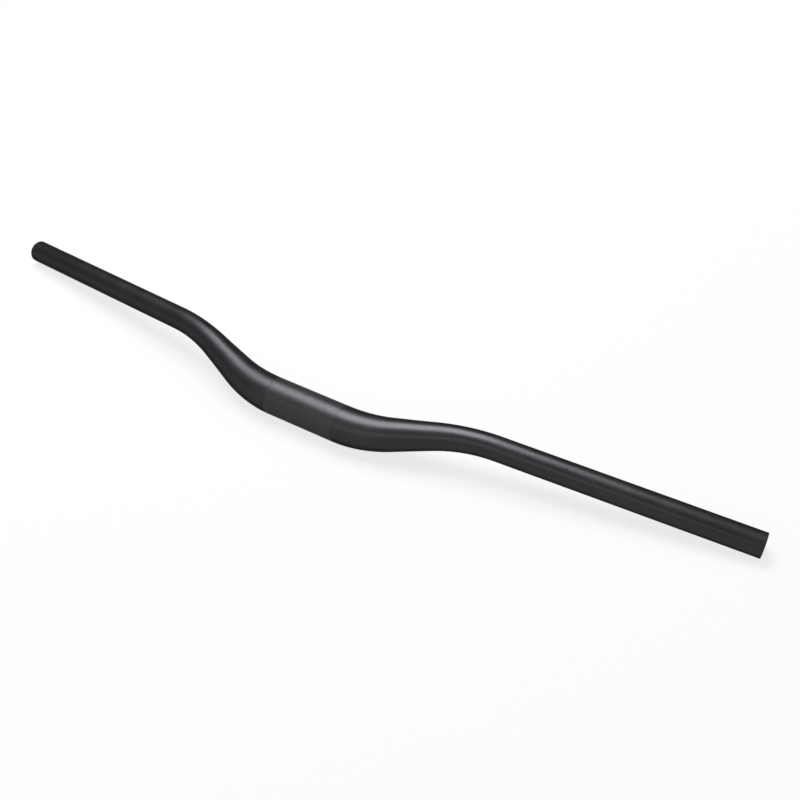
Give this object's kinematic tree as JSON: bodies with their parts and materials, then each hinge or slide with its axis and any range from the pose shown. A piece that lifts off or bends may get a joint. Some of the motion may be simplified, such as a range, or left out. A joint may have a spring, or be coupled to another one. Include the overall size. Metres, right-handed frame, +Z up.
{
  "type": "bicycle handlebar",
  "caption": "Riser handlebar: a bent aluminium tube with a wide straight clamp zone for the stem, tapered through its bends to straight open ends for grips and controls.",
  "frame": {"origin": "centre of the stem clamp zone, on the tube's axis", "axes": "+X along the clamp axis, to the rider's left; +Z up as the bar lies at rest on its clamp zone and on both ends; +Y from the clamp zone towards the ends. To bring it to the riding position, turn it 62.7 degrees about +X by the right-hand rule: the rise then points to +Z and the ends sweep back to +Y, towards the rider."},
  "size_m": [0.8034, 0.0932, 0.0421],
  "materials": {
    "black_anodised": "satin black, bead blasted and anodised"
  },
  "bodies": {
    "root": {"handlebar": "black_anodised"}
  },
  "joints": []
}
